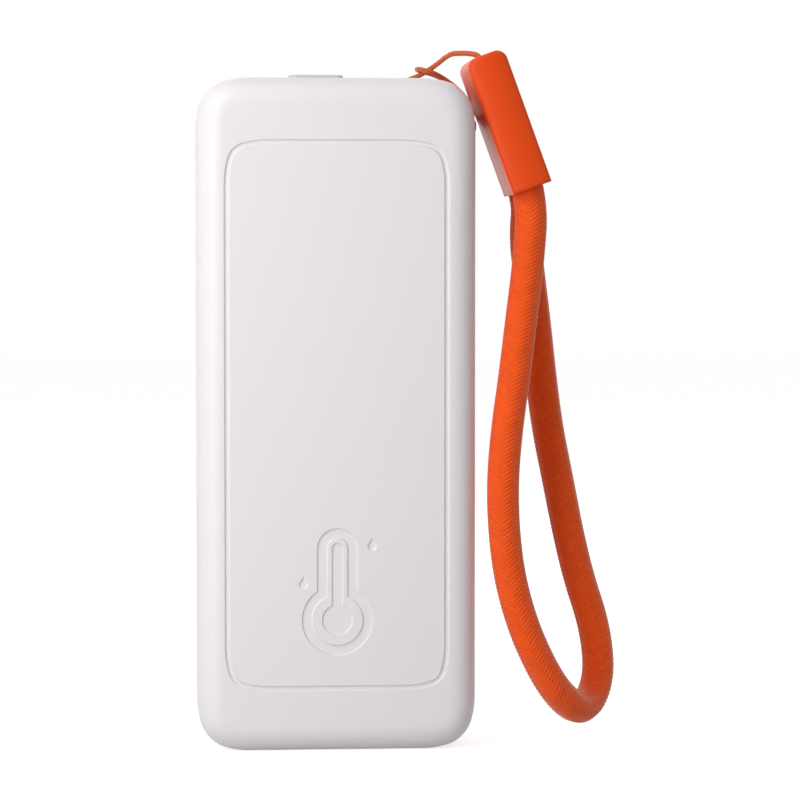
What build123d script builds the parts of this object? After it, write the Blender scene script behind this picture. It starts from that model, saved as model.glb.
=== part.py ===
"""Battery-powered temperature and humidity sensor with a braided wrist strap.

Millimetres. The origin is on the floor under the middle of the housing, +Z is up and the front faces -Y.
"""

import os
from math import cos, pi, radians, sin, tan

from build123d import *

# Housing
BODY_WIDTH = 46.0
BODY_HEIGHT = 110.7
BODY_DEPTH = 22.0
FLANK_ANGLE = 15.0
CORNER_RADIUS = 6.1
CORNER_FLANK_RADIUS = 15.0
EDGE_RADIUS = 4.2
WALL = 2.0
PARTING_DEPTH = 14.5
SEAM_CHAMFER = 0.25
SEAL_WIDTH = 0.8
SEAL_THICKNESS = 0.8
SEAL_CLEARANCE = 0.05

# Groove round the front panel and the moulded sign
PANEL_WIDTH = 36.0
PANEL_HEIGHT = 89.4
PANEL_CORNER = 3.2
PANEL_FLANK_RADIUS = 16.0
GROOVE_WIDTH = 0.95
GROOVE_DEPTH = 0.35
GROOVE_SLOPE = 38.0
SIGN_DEPTH = 0.3
SIGN_SLOPE = 30.0
SIGN_BULB_HEIGHT = 21.9
SIGN_STEM_LENGTH = 11.75
SIGN_OUTLINES = ((3.37, 5.87), (1.58, 4.1), (0.97, 2.56))
DROP_RADIUS = 0.82
DROP_LENGTH = 2.3
DROP_SLOPE = 48.0
DROP_PLACES = ((-5.55, 5.85), (5.7, 12.1))

# Cover screws
SCREW_RADIUS = 1.2
SCREW_LENGTH = 13.5
SCREW_HEAD_RADIUS = 2.2
SCREW_HEAD_HEIGHT = 1.6
SCREW_HEAD_SINK = 0.3
SCREW_CLEARANCE = 0.15
SCREW_BOSS_WALL = 1.6
SCREW_SIDE_INSET = 6.0
SCREW_BOTTOM_INSET = 7.4
SCREW_TOP_INSET = 13.2
RECESS_WIDTH = 0.6

# Strap tunnel through the top right corner of the rear cover
TUNNEL_RADIUS = 1.45
TUNNEL_WALL = 1.2
TUNNEL_FROM_BACK = 3.4
TUNNEL_SIDE_INSET = 11.0
TUNNEL_TOP_INSET = 7.4
NIB_RADIUS = 1.3
NIB_HEIGHT = 1.25
NIB_FROM_BACK = 6.0
NIB_ROUND = 0.8

# Vent in the rear cover
VENT_COUNT = 5
VENT_PITCH = 2.6
VENT_WIDTH = 1.2
VENT_LENGTH = 9.0
VENT_TOP_INSET = 14.7
MEMBRANE_THICKNESS = 0.4
MEMBRANE_MARGIN = 1.4

# Battery cells and their tray
CELL_RADIUS = 7.25
CELL_LENGTH = 50.5
NUB_RADIUS = 2.75
NUB_LENGTH = 1.3
CELL_EDGE = 0.6
CELL_CLEARANCE = 0.15
CELL_SPACING = 0.8
TRAY_FLOOR = 1.0
TRAY_WALL = 1.4
TRAY_CORNER = 1.2
TRAY_BOTTOM_INSET = 11.4
CONTACT_SPACE = 1.8
CONTACT_THICKNESS = 0.4
CONTACT_GAP = 0.1
CONTACT_WIDTH = 8.0
CONTACT_HEIGHT = 7.0
LEAF_WIDTH = 4.0
TAIL_WIDTH = 2.4
TAIL_LAP = 3.0
RIB_THICKNESS = 1.6
RIB_GAP = 0.3
RIB_SHARES = (0.25, 0.75)

# Circuit board
BOARD_WIDTH = 27.0
BOARD_TRAY_GAP = 2.7
BOARD_BOSS_GAP = 0.5
BOARD_THICKNESS = 1.6
BOARD_CORNER = 1.0
BOARD_TOP_INSET = 5.7
BOARD_STANDOFF = 4.4
POST_RADIUS = 2.2
POST_INSET = 2.6
BOARD_SCREW_RADIUS = 0.8
BOARD_SCREW_LENGTH = 4.8
BOARD_SCREW_HEAD_RADIUS = 1.6
BOARD_SCREW_HEAD_HEIGHT = 1.2
BOARD_SCREW_CLEARANCE = 0.1

# Parts on the board: width, height, thickness, then the centre measured from the board's top centre
RADIO_SIZE = (8.0, 10.0, 0.8)
RADIO_PLACE = (-2.2, -9.5)
CAN_SIZE = (7.0, 6.4, 1.9)
CAN_SHIFT = -1.3
ANTENNA_SIZE = (5.0, 2.0, 1.2)
ANTENNA_SHIFT = 3.6
CHIP_SIZE = (4.0, 4.0, 0.9)
CHIP_PLACE = (7.2, -6.7)
CRYSTAL_SIZE = (3.2, 1.5, 0.8)
CRYSTAL_PLACE = (7.4, -10.2)
SENSOR_SIZE = (2.5, 2.5, 1.0)
SENSOR_PLACE = (3.6, -6.4)
SENSOR_WINDOW_RADIUS = 0.5
SENSOR_WINDOW_DEPTH = 0.4
CAPACITOR_SIZE = (1.6, 0.8, 0.8)
CAPACITOR_PLACES = ((3.6, -8.8), (3.6, -10.2), (-8.0, -5.4), (-8.0, -7.0), (-8.0, -8.6))

# Button on the top edge and the switch under it
BUTTON_WIDTH = 9.2
BUTTON_DEPTH = 4.0
BUTTON_PROUD = 0.7
BUTTON_CORNER = 1.4
BUTTON_ROUND = 0.4
BUTTON_OFFSET = -3.1
BUTTON_CLEARANCE = 0.2
BUTTON_FLANGE = 0.9
BUTTON_FLANGE_THICKNESS = 0.9
BUTTON_FLANGE_GAP = 0.1
BUTTON_STEM_RADIUS = 1.2
BUTTON_TRAVEL = 0.35
SWITCH_WIDTH = 6.0
SWITCH_DEPTH = 3.5
SWITCH_HEIGHT = 3.6
SWITCH_OVERHANG = 0.2
PLUNGER_RADIUS = 1.0
PLUNGER_PROUD = 0.8
PLUNGER_LENGTH = 1.7
PLUNGER_CLEARANCE = 0.12

# Wrist strap
STRAP_DIAMETER = 5.4
THIN_DIAMETER = 0.85
CORD_CLEARANCE = 0.1
FERRULE_WIDTH = 6.7
FERRULE_DEPTH = 14.4
FERRULE_LENGTH = 23.35
FERRULE_CROWN = 0.7
FERRULE_SHOULDER = 1.8
FERRULE_EDGE = 0.6
FERRULE_TILT = 20.1
FERRULE_TURN = 1.4
FERRULE_OUT = 9.46
FERRULE_DROP = 18.0
SOCKET_OFFSET = 3.05
SOCKET_DEPTH = 7.0
STRAP_GRIP = 6.0
STRAP_LEAD = 3.0
THIN_OFFSET = 0.55
THIN_HOLE_DEPTH = 2.0
THIN_GRIP = 1.6
THIN_LEAD = 0.3
ARC_SHARE = 0.45

# Routes of the two cords, measured from the housing's top right corner at mid depth
STRAP_ROUTE = (
    (9.0, -3.2, -31.0),
    (7.8, -4.4, -39.8),
    (6.7, -5.7, -48.7),
    (5.3, -6.8, -57.7),
    (4.5, -7.5, -66.3),
    (4.7, -7.8, -74.6),
    (5.7, -7.9, -82.6),
    (7.9, -7.8, -90.4),
    (10.8, -7.4, -96.9),
    (13.4, -6.3, -101.2),
    (15.9, -4.2, -103.9),
    (18.4, -0.5, -105.4),
    (20.5, 3.0, -104.7),
    (22.0, 5.4, -102.3),
    (22.6, 6.6, -98.3),
    (21.7, 7.3, -91.6),
    (19.2, 7.4, -84.1),
    (17.2, 7.2, -75.8),
    (15.5, 6.8, -67.3),
    (13.6, 6.2, -58.4),
    (12.3, 5.4, -49.2),
    (11.0, 4.3, -40.0),
    (9.8, 3.2, -31.0),
)
THIN_ROUTE = (
    (-0.6, 1.3, 4.75),
    (-3.0, 3.0, 4.75),
    (-5.6, 5.7, 2.8),
    (-8.3, 7.4, 1.1),
    (-10.2, 7.6, 0.5),
    (-11.0, 7.6, -0.9),
    (-11.0, 7.6, -3.7),
    (-10.5, 7.6, -6.1),
    (-8.9, 7.6, -7.35),
    (-5.0, 7.6, -7.4),
    (-2.4, 7.6, -7.37),
    (-0.5, 7.6, -7.4),
    (0.6, 7.6, -6.8),
    (0.75, 7.65, -5.6),
    (0.6, 7.6, -3.8),
    (-1.5, 7.6, -1.3),
    (-3.9, 7.6, 0.6),
)
HITCH_ROUTE = (
    (-6.3, 5.0, 1.6),
    (-7.6, 4.7, 1.85),
    (-8.7, 4.9, 2.1),
    (-9.45, 5.9, 2.25),
    (-9.45, 7.5, 2.25),
    (-8.7, 8.5, 2.1),
    (-7.6, 8.7, 1.85),
    (-6.3, 8.4, 1.6),
)

# Places that follow from the sizes above
FRONT = -BODY_DEPTH / 2
BACK = BODY_DEPTH / 2
PARTING = FRONT + PARTING_DEPTH
INNER_FRONT = FRONT + WALL
INNER_BACK = BACK - WALL
INNER_TOP = BODY_HEIGHT - WALL
CENTRE_HEIGHT = BODY_HEIGHT / 2
CORNER = Vector(BODY_WIDTH / 2, 0, BODY_HEIGHT)

SCREW_X = BODY_WIDTH / 2 - SCREW_SIDE_INSET
SCREW_PLACES = [
    (side * SCREW_X, height)
    for side in (-1, 1)
    for height in (SCREW_BOTTOM_INSET, BODY_HEIGHT - SCREW_TOP_INSET)
]
SCREW_SEAT = BACK - SCREW_HEAD_SINK - SCREW_HEAD_HEIGHT
SCREW_BOSS_RADIUS = SCREW_RADIUS + SCREW_CLEARANCE + SCREW_BOSS_WALL

CELL_Y = INNER_FRONT + TRAY_FLOOR + CELL_CLEARANCE + CELL_RADIUS
TROUGH_RADIUS = CELL_RADIUS + CELL_CLEARANCE
CELL_X = TROUGH_RADIUS + CELL_SPACING / 2
TRAY_WIDTH = 2 * (CELL_X + TROUGH_RADIUS + TRAY_WALL)
TROUGH_BOTTOM = TRAY_BOTTOM_INSET + TRAY_WALL
CELL_BOTTOM = TROUGH_BOTTOM + CONTACT_SPACE
CELL_TOP = CELL_BOTTOM + CELL_LENGTH
TROUGH_TOP = CELL_TOP + CONTACT_SPACE
TRAY_TOP = TROUGH_TOP + TRAY_WALL

BOARD_FRONT = INNER_FRONT + BOARD_STANDOFF
BOARD_BACK = BOARD_FRONT + BOARD_THICKNESS
BOARD_TOP = BODY_HEIGHT - BOARD_TOP_INSET
BOARD_BOTTOM = TRAY_TOP + BOARD_TRAY_GAP
BOARD_HEIGHT = BOARD_TOP - BOARD_BOTTOM
BOARD_MIDDLE = BOARD_TOP - BOARD_HEIGHT / 2
POST_PLACES = [
    (side * (BOARD_WIDTH / 2 - POST_INSET), height)
    for side in (-1, 1)
    for height in (BOARD_BOTTOM + POST_INSET, BOARD_TOP - POST_INSET)
]

SWITCH_Y = BOARD_BACK + SWITCH_DEPTH / 2
SWITCH_TOP = BOARD_TOP + SWITCH_OVERHANG
PLUNGER_TOP = SWITCH_TOP + PLUNGER_PROUD

TUNNEL_X = BODY_WIDTH / 2 - TUNNEL_SIDE_INSET
TUNNEL_Y = BACK - TUNNEL_FROM_BACK
TUNNEL_Z = BODY_HEIGHT - TUNNEL_TOP_INSET
VENT_Z = BODY_HEIGHT - VENT_TOP_INSET

ALONG_FERRULE = Vector(-sin(radians(FERRULE_TILT)), 0, cos(radians(FERRULE_TILT)))
ACROSS_TILTED = Vector(cos(radians(FERRULE_TILT)), 0, sin(radians(FERRULE_TILT)))
ACROSS_FERRULE = ACROSS_TILTED * cos(radians(FERRULE_TURN)) + Vector(0, sin(radians(FERRULE_TURN)), 0)
FERRULE_MOUTH = CORNER + Vector(FERRULE_OUT, 0, -FERRULE_DROP)
FERRULE_FRAME = Plane(origin=FERRULE_MOUTH, x_dir=ACROSS_FERRULE, z_dir=ALONG_FERRULE)


def seen_from_front(x, y, z):
    """A sketch plane at depth y, whose solids grow towards the front."""
    return Plane(origin=(x, y, z), x_dir=(1, 0, 0), z_dir=(0, -1, 0))


def plate(width, height, corner, front, back, x=0.0, z=0.0):
    """An upright plate with rounded corners between two depths."""
    outline = RectangleRounded(width, height, corner)
    return extrude(seen_from_front(x, back, z) * outline, amount=back - front)


def rod(radius, front, back, x, z):
    """A round rod from front to back."""
    return extrude(seen_from_front(x, back, z) * Circle(radius), amount=back - front)


def upright_rod(radius, bottom, top, x, y):
    """A round rod from bottom to top."""
    return extrude(Pos(x, y, bottom) * Circle(radius), amount=top - bottom)


def block(low, high):
    """A box between two corners."""
    size = [b - a for a, b in zip(low, high)]
    middle = [(a + b) / 2 for a, b in zip(low, high)]
    return Pos(*middle) * Box(*size)


def eased_rectangle(width, height, corner, flank, inset):
    """A rectangle, moved inwards, whose corners are each a round arc between two flatter ones."""
    x = width / 2 - inset
    z = height / 2 - inset
    lean = radians(FLANK_ANGLE)
    reach = (flank - inset) * (1 + sin(lean) - cos(lean)) + (corner - inset) * (cos(lean) - sin(lean))
    side_bend = (flank - inset, FLANK_ANGLE)
    bends = [side_bend, (corner - inset, 90 - 2 * FLANK_ANGLE), side_bend]
    starts = [(x, z - reach), (reach - x, z), (-x, reach - z), (x - reach, -z)]
    headings = [(0, 1), (-1, 0), (0, -1), (1, 0)]
    edges = []
    for place, heading, following in zip(starts, headings, starts[1:] + starts[:1]):
        for radius, angle in bends:
            arc = JernArc(place, heading, radius, angle)
            place = arc @ 1
            heading = arc % 1
            edges.append(arc)
        edges.append(Line(place, following))
    return make_face(edges)


def housing_outline(inset):
    """The housing's outline, moved inwards."""
    return eased_rectangle(BODY_WIDTH, BODY_HEIGHT, CORNER_RADIUS, CORNER_FLANK_RADIUS, inset)


def housing_plate(inset, front, back):
    """A plate with the housing's outline between two depths."""
    return extrude(seen_from_front(0, back, CENTRE_HEIGHT) * housing_outline(inset), amount=back - front)


def solid_half(inset, front, back, closed_at_front):
    """A solid half of the housing, whose closed face has soft edges."""
    half = housing_plate(inset, front, back)
    closed = half.faces().sort_by(Axis.Y)[0 if closed_at_front else -1]
    return fillet(closed.edges(), EDGE_RADIUS - inset)


def outer_half(front, back, closed_at_front):
    """The outside of one cover, with a fine chamfer along its rim that shows as the seam."""
    half = solid_half(0, front, back, closed_at_front)
    rim = half.faces().sort_by(Axis.Y)[-1 if closed_at_front else 0]
    return chamfer(rim.edges(), SEAM_CHAMFER)


def rim_ring(width, front, back):
    """A flat ring along the middle of the housing's rim."""
    return housing_plate((WALL - width) / 2, front, back) - housing_plate((WALL + width) / 2, front, back)


def face_recess(outline, height, depth, slope):
    """A recess in the front face, whose walls slope inwards by an angle."""
    return extrude(seen_from_front(0, FRONT, height) * outline, amount=-depth, taper=slope)


def panel_groove():
    """The groove round the front panel, with sloping walls."""
    outside, island = (
        eased_rectangle(PANEL_WIDTH, PANEL_HEIGHT, PANEL_CORNER, PANEL_FLANK_RADIUS, inset)
        for inset in (-GROOVE_WIDTH / 2, GROOVE_WIDTH / 2)
    )
    return face_recess(outside - island, CENTRE_HEIGHT, GROOVE_DEPTH, GROOVE_SLOPE)


def sign_outline(stem_half_width, bulb_radius):
    """The outline of a bulb with a round-topped stem, drawn about the bulb's centre."""
    stem = Pos(0, SIGN_STEM_LENGTH / 2) * Rectangle(2 * stem_half_width, SIGN_STEM_LENGTH)
    return Circle(bulb_radius) + stem + Pos(0, SIGN_STEM_LENGTH) * Circle(stem_half_width)


def drop_outline():
    """A drop: a circle with two tangents that meet at a point above it."""
    reach = DROP_LENGTH - DROP_RADIUS
    height = DROP_RADIUS**2 / reach
    half_width = (DROP_RADIUS**2 - height**2) ** 0.5
    tip = Polygon((-half_width, height), (half_width, height), (0, reach), align=None)
    return Circle(DROP_RADIUS) + tip


def front_sign():
    """The moulded sign: a recessed band round a raised outline, a recessed core and two drops."""
    outer, ring, core = (sign_outline(*sizes) for sizes in SIGN_OUTLINES)
    recesses = []
    for outline in (outer - ring, core):
        recesses.append(face_recess(outline, SIGN_BULB_HEIGHT, SIGN_DEPTH, SIGN_SLOPE))
    for x, z in DROP_PLACES:
        drop = Pos(x, z) * drop_outline()
        recesses.append(face_recess(drop, SIGN_BULB_HEIGHT, SIGN_DEPTH, DROP_SLOPE))
    return recesses


def front_cover():
    outside = outer_half(FRONT, PARTING, closed_at_front=True)
    cover = outside - solid_half(WALL, INNER_FRONT, PARTING, closed_at_front=True)
    for x, z in SCREW_PLACES:
        cover += rod(SCREW_BOSS_RADIUS, INNER_FRONT, PARTING, x, z) & outside
        tip = SCREW_SEAT - SCREW_LENGTH - SCREW_CLEARANCE
        cover -= rod(SCREW_RADIUS + SCREW_CLEARANCE, tip, PARTING, x, z)
    for x, z in POST_PLACES:
        cover += rod(POST_RADIUS, INNER_FRONT, BOARD_FRONT, x, z)
        tip = BOARD_BACK - BOARD_SCREW_LENGTH - BOARD_SCREW_CLEARANCE
        cover -= rod(BOARD_SCREW_RADIUS + BOARD_SCREW_CLEARANCE, tip, BOARD_FRONT, x, z)
    cover -= rim_ring(SEAL_WIDTH + 2 * SEAL_CLEARANCE, PARTING - SEAL_THICKNESS, PARTING)
    hole = RectangleRounded(
        BUTTON_WIDTH + 2 * BUTTON_CLEARANCE,
        BUTTON_DEPTH + 2 * BUTTON_CLEARANCE,
        BUTTON_CORNER + BUTTON_CLEARANCE,
    )
    cover -= extrude(Pos(BUTTON_OFFSET, SWITCH_Y, INNER_TOP) * hole, amount=WALL)
    cover -= panel_groove()
    for recess in front_sign():
        cover -= recess
    return cover


def strap_tunnel():
    """Two straight bores that meet in a rounded elbow, one from the top and one from the right side."""
    down = upright_rod(TUNNEL_RADIUS, TUNNEL_Z, BODY_HEIGHT, TUNNEL_X, TUNNEL_Y)
    across = Plane(origin=(TUNNEL_X, TUNNEL_Y, TUNNEL_Z), z_dir=(1, 0, 0)) * Circle(TUNNEL_RADIUS)
    elbow = Pos(TUNNEL_X, TUNNEL_Y, TUNNEL_Z) * Sphere(TUNNEL_RADIUS)
    return down + extrude(across, amount=TUNNEL_SIDE_INSET) + elbow


def strap_nib():
    """The small round nib on the right side, in front of the tunnel's side mouth."""
    root = BODY_WIDTH / 2 - WALL
    place = Plane(origin=(root, BACK - NIB_FROM_BACK, TUNNEL_Z), z_dir=(1, 0, 0))
    nib = extrude(place * Circle(NIB_RADIUS), amount=WALL + NIB_HEIGHT)
    return fillet(nib.faces().sort_by(Axis.X)[-1].edges(), NIB_ROUND)


def cell_ribs():
    """Ribs that reach from the rear cover to the cells and are cut to the cells' round."""
    ribs = []
    for share in RIB_SHARES:
        middle = CELL_BOTTOM + share * CELL_LENGTH
        low = (-CELL_X - CELL_RADIUS, CELL_Y + CELL_RADIUS / 2, middle - RIB_THICKNESS / 2)
        high = (CELL_X + CELL_RADIUS, INNER_BACK, middle + RIB_THICKNESS / 2)
        rib = block(low, high)
        for side in (-1, 1):
            radius = CELL_RADIUS + RIB_GAP
            rib -= upright_rod(radius, low[2], high[2], side * CELL_X, CELL_Y)
        ribs.append(rib)
    return ribs


def vent_slots():
    """A row of upright slots through the rear cover."""
    slots = []
    for index in range(VENT_COUNT):
        x = (index - (VENT_COUNT - 1) / 2) * VENT_PITCH
        outline = seen_from_front(x, BACK, VENT_Z) * Rot(0, 0, 90) * SlotOverall(VENT_LENGTH, VENT_WIDTH)
        slots.append(extrude(outline, amount=WALL))
    return slots


def rear_cover():
    outside = outer_half(PARTING, BACK, closed_at_front=False)
    cover = outside - solid_half(WALL, PARTING, INNER_BACK, closed_at_front=False)
    block_low = (
        TUNNEL_X - TUNNEL_RADIUS - TUNNEL_WALL,
        TUNNEL_Y - TUNNEL_RADIUS - TUNNEL_WALL,
        TUNNEL_Z - TUNNEL_RADIUS - TUNNEL_WALL,
    )
    added = [block(block_low, (BODY_WIDTH / 2 - WALL, INNER_BACK, INNER_TOP))] + cell_ribs()
    added += [rod(SCREW_BOSS_RADIUS, PARTING, INNER_BACK, x, z) for x, z in SCREW_PLACES]
    for piece in added:
        cover += piece & outside
    cover += strap_nib()
    for x, z in SCREW_PLACES:
        cover -= rod(SCREW_RADIUS + SCREW_CLEARANCE, PARTING, SCREW_SEAT, x, z)
        cover -= rod(SCREW_HEAD_RADIUS + SCREW_CLEARANCE, SCREW_SEAT, BACK, x, z)
    cover -= strap_tunnel()
    for slot in vent_slots():
        cover -= slot
    return cover


def cover_seal():
    return rim_ring(SEAL_WIDTH, PARTING - SEAL_THICKNESS, PARTING)


def screw(radius, length, head_radius, head_height, seat, x, z):
    """A pan-head screw that points to the front, with a cross recess."""
    body = rod(radius, seat - length, seat, x, z)
    body += rod(head_radius, seat, seat + head_height, x, z)
    for width, height in ((RECESS_WIDTH, head_radius), (head_radius, RECESS_WIDTH)):
        low = (x - width / 2, seat + head_height / 2, z - height / 2)
        high = (x + width / 2, seat + head_height, z + height / 2)
        body -= block(low, high)
    return body


def cover_screws():
    sizes = (SCREW_RADIUS, SCREW_LENGTH, SCREW_HEAD_RADIUS, SCREW_HEAD_HEIGHT)
    return [screw(*sizes, SCREW_SEAT, x, z) for x, z in SCREW_PLACES]


def board_screws():
    sizes = (BOARD_SCREW_RADIUS, BOARD_SCREW_LENGTH, BOARD_SCREW_HEAD_RADIUS, BOARD_SCREW_HEAD_HEIGHT)
    return [screw(*sizes, BOARD_BACK, x, z) for x, z in POST_PLACES]


def sensor_membrane():
    width = (VENT_COUNT - 1) * VENT_PITCH + VENT_WIDTH + 2 * MEMBRANE_MARGIN
    height = VENT_LENGTH + 2 * MEMBRANE_MARGIN
    return plate(width, height, MEMBRANE_MARGIN, INNER_BACK - MEMBRANE_THICKNESS, INNER_BACK, z=VENT_Z)


def circuit_board():
    """The board, drilled for its screws and notched wherever a screw boss comes too near."""
    board = plate(BOARD_WIDTH, BOARD_HEIGHT, BOARD_CORNER, BOARD_FRONT, BOARD_BACK, z=BOARD_MIDDLE)
    for x, z in POST_PLACES:
        board -= rod(BOARD_SCREW_RADIUS + BOARD_SCREW_CLEARANCE, BOARD_FRONT, BOARD_BACK, x, z)
    for x, z in SCREW_PLACES:
        board -= rod(SCREW_BOSS_RADIUS + BOARD_BOSS_GAP, BOARD_FRONT, BOARD_BACK, x, z)
    return board


def on_board(size, place, shift=0.0, base=BOARD_BACK):
    """A flat part on the back of the board, measured from the board's top centre."""
    width, height, thickness = size
    x, z = place
    middle = BOARD_TOP + z + shift
    low = (x - width / 2, base, middle - height / 2)
    return block(low, (x + width / 2, base + thickness, middle + height / 2))


def radio_module():
    return on_board(RADIO_SIZE, RADIO_PLACE)


def radio_shield_can():
    can = on_board(CAN_SIZE, RADIO_PLACE, CAN_SHIFT, BOARD_BACK + RADIO_SIZE[2])
    return chamfer(can.faces().sort_by(Axis.Y)[-1].edges(), CAN_SIZE[2] / 6)


def chip_antenna():
    return on_board(ANTENNA_SIZE, RADIO_PLACE, ANTENNA_SHIFT, BOARD_BACK + RADIO_SIZE[2])


def microcontroller():
    return on_board(CHIP_SIZE, CHIP_PLACE)


def clock_crystal():
    return on_board(CRYSTAL_SIZE, CRYSTAL_PLACE)


def humidity_sensor_chip():
    x, z = SENSOR_PLACE
    top = BOARD_BACK + SENSOR_SIZE[2]
    window = rod(SENSOR_WINDOW_RADIUS, top - SENSOR_WINDOW_DEPTH, top, x, BOARD_TOP + z)
    return on_board(SENSOR_SIZE, SENSOR_PLACE) - window


def board_capacitors():
    return [on_board(CAPACITOR_SIZE, place) for place in CAPACITOR_PLACES]


def switch_body():
    low = (BUTTON_OFFSET - SWITCH_WIDTH / 2, BOARD_BACK, SWITCH_TOP - SWITCH_HEIGHT)
    body = block(low, (BUTTON_OFFSET + SWITCH_WIDTH / 2, BOARD_BACK + SWITCH_DEPTH, SWITCH_TOP))
    bottom = PLUNGER_TOP - PLUNGER_LENGTH - BUTTON_TRAVEL - PLUNGER_CLEARANCE
    return body - upright_rod(PLUNGER_RADIUS + PLUNGER_CLEARANCE, bottom, SWITCH_TOP, BUTTON_OFFSET, SWITCH_Y)


def switch_plunger():
    return upright_rod(PLUNGER_RADIUS, PLUNGER_TOP - PLUNGER_LENGTH, PLUNGER_TOP, BUTTON_OFFSET, SWITCH_Y)


def power_button():
    """The cap that shows on the top edge, its retaining flange and the stem that meets the switch."""
    flange_top = INNER_TOP - BUTTON_FLANGE_GAP
    flange_bottom = flange_top - BUTTON_FLANGE_THICKNESS
    cap_outline = RectangleRounded(BUTTON_WIDTH, BUTTON_DEPTH, BUTTON_CORNER)
    flange_outline = RectangleRounded(
        BUTTON_WIDTH + 2 * BUTTON_FLANGE,
        BUTTON_DEPTH + 2 * BUTTON_FLANGE,
        BUTTON_CORNER + BUTTON_FLANGE,
    )
    cap_height = BODY_HEIGHT + BUTTON_PROUD - flange_top
    cap = extrude(Pos(BUTTON_OFFSET, SWITCH_Y, flange_top) * cap_outline, amount=cap_height)
    cap = fillet(cap.faces().sort_by(Axis.Z)[-1].edges(), BUTTON_ROUND)
    flange_place = Pos(BUTTON_OFFSET, SWITCH_Y, flange_bottom)
    flange = extrude(flange_place * flange_outline, amount=BUTTON_FLANGE_THICKNESS)
    stem = upright_rod(BUTTON_STEM_RADIUS, PLUNGER_TOP, flange_bottom, BUTTON_OFFSET, SWITCH_Y)
    return cap + flange + stem


def battery_tray():
    """A moulded cradle with two round troughs, end walls for the contacts and gaps for their tails."""
    height = TRAY_TOP - TRAY_BOTTOM_INSET
    middle = TRAY_BOTTOM_INSET + height / 2
    tray = plate(TRAY_WIDTH, height, TRAY_CORNER, INNER_FRONT, CELL_Y, z=middle)
    for side in (-1, 1):
        tray -= upright_rod(TROUGH_RADIUS, TROUGH_BOTTOM, TROUGH_TOP, side * CELL_X, CELL_Y)
        gap = TAIL_WIDTH / 2 + CONTACT_GAP
        low = (side * CELL_X - gap, BOARD_BACK - CONTACT_GAP, TROUGH_TOP)
        tray -= block(low, (side * CELL_X + gap, CELL_Y, TRAY_TOP))
    link_gap = CONTACT_THICKNESS + CONTACT_GAP
    low = (-CELL_X, CELL_Y - CONTACT_HEIGHT / 2 - CONTACT_GAP, TROUGH_BOTTOM)
    return tray - block(low, (CELL_X, CELL_Y, TROUGH_BOTTOM + link_gap))


def battery(side):
    """One cell, with its nub at the top on the left and at the bottom on the right."""
    length = CELL_LENGTH - NUB_LENGTH
    can = upright_rod(CELL_RADIUS, 0, length, 0, 0)
    can = chamfer(can.edges().filter_by(GeomType.CIRCLE), CELL_EDGE)
    cell = can + upright_rod(NUB_RADIUS, length, CELL_LENGTH, 0, 0)
    if side > 0:
        return Pos(CELL_X, CELL_Y, CELL_TOP) * Rot(180, 0, 0) * cell
    return Pos(-CELL_X, CELL_Y, CELL_BOTTOM) * cell


def contact_plate(x, wall, inward):
    """A flat spring plate on the tray's end wall; inward is +1 where the cell lies above it."""
    inner = wall + inward * CONTACT_THICKNESS
    low = (x - CONTACT_WIDTH / 2, CELL_Y - CONTACT_HEIGHT / 2, min(wall, inner))
    return block(low, (x + CONTACT_WIDTH / 2, CELL_Y + CONTACT_HEIGHT / 2, max(wall, inner)))


def contact_dimple(x, wall, inward):
    """The raised dimple that meets a cell's nub."""
    reach = CONTACT_SPACE - CONTACT_GAP
    ends = sorted((wall, wall + inward * reach))
    return upright_rod(NUB_RADIUS / 2, *ends, x, CELL_Y)


def contact_leaf(x, wall, inward):
    """The bowed leaf that presses on a cell's flat end."""
    half = CONTACT_HEIGHT / 2 - CONTACT_THICKNESS
    foot = wall + inward * CONTACT_THICKNESS / 2
    crest = wall + inward * (CONTACT_SPACE - CONTACT_GAP - CONTACT_THICKNESS / 2)
    side = Plane(origin=(x - LEAF_WIDTH / 2, 0, 0), x_dir=(0, 1, 0), z_dir=(1, 0, 0))
    bow = ThreePointArc((CELL_Y - half, foot), (CELL_Y, crest), (CELL_Y + half, foot))
    return extrude(side * trace(bow, CONTACT_THICKNESS), amount=LEAF_WIDTH)


def contact_tail(x):
    """The strip that carries a contact over the end wall to the board."""
    low = (x - TAIL_WIDTH / 2, BOARD_BACK, TROUGH_TOP - CONTACT_THICKNESS)
    return block(low, (x + TAIL_WIDTH / 2, BOARD_BACK + CONTACT_THICKNESS, BOARD_BOTTOM + TAIL_LAP))


def positive_contact():
    plate_part = contact_plate(-CELL_X, TROUGH_TOP, -1)
    return plate_part + contact_dimple(-CELL_X, TROUGH_TOP, -1) + contact_tail(-CELL_X)


def negative_contact():
    plate_part = contact_plate(CELL_X, TROUGH_TOP, -1)
    return plate_part + contact_leaf(CELL_X, TROUGH_TOP, -1) + contact_tail(CELL_X)


def link_contact():
    link = contact_plate(-CELL_X, TROUGH_BOTTOM, 1) + contact_plate(CELL_X, TROUGH_BOTTOM, 1)
    low = (-CELL_X, CELL_Y - CONTACT_HEIGHT / 2, TROUGH_BOTTOM)
    link += block(low, (CELL_X, CELL_Y + CONTACT_HEIGHT / 2, TROUGH_BOTTOM + CONTACT_THICKNESS))
    return link + contact_leaf(-CELL_X, TROUGH_BOTTOM, 1) + contact_dimple(CELL_X, TROUGH_BOTTOM, 1)


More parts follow.
